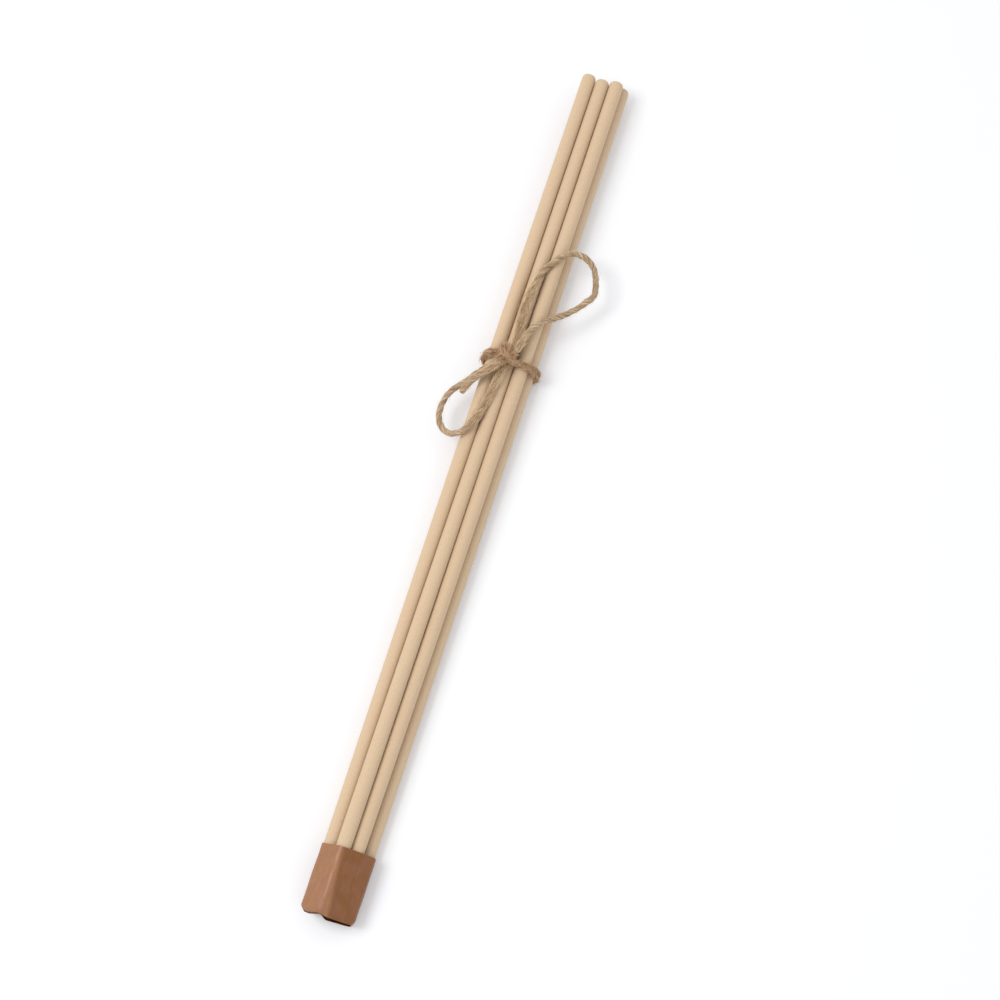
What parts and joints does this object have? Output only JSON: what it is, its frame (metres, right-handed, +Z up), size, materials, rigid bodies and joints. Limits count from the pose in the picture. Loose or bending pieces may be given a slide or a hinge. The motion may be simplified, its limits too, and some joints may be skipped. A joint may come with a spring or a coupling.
{
  "type": "bundle of reeds",
  "caption": "Long smooth reeds tied with twine in a bow, their lower ends held together in a brown sleeve.",
  "frame": {"origin": "on the surface that the bundle lies on, below the middle of the bundle", "axes": "+Y along the reeds towards their free ends, +X across the bundle to the right, +Z up"},
  "size_m": [0.0389, 0.302, 0.0168],
  "materials": {
    "reed": "smooth matte, cream, with a fine fibrous surface",
    "sleeve": "brown, fine-grained, with a low sheen",
    "twine": "twisted natural fibre, dry and hairy"
  },
  "bodies": {
    "root": {"reed_1": "reed", "reed_2": "reed", "reed_3": "reed", "reed_4": "reed", "reed_5": "reed", "reed_6": "reed", "sleeve": "sleeve", "twine_wrap": "twine", "twine_loop_long": "twine", "twine_loop_short": "twine", "twine_tail": "twine"}
  },
  "joints": []
}
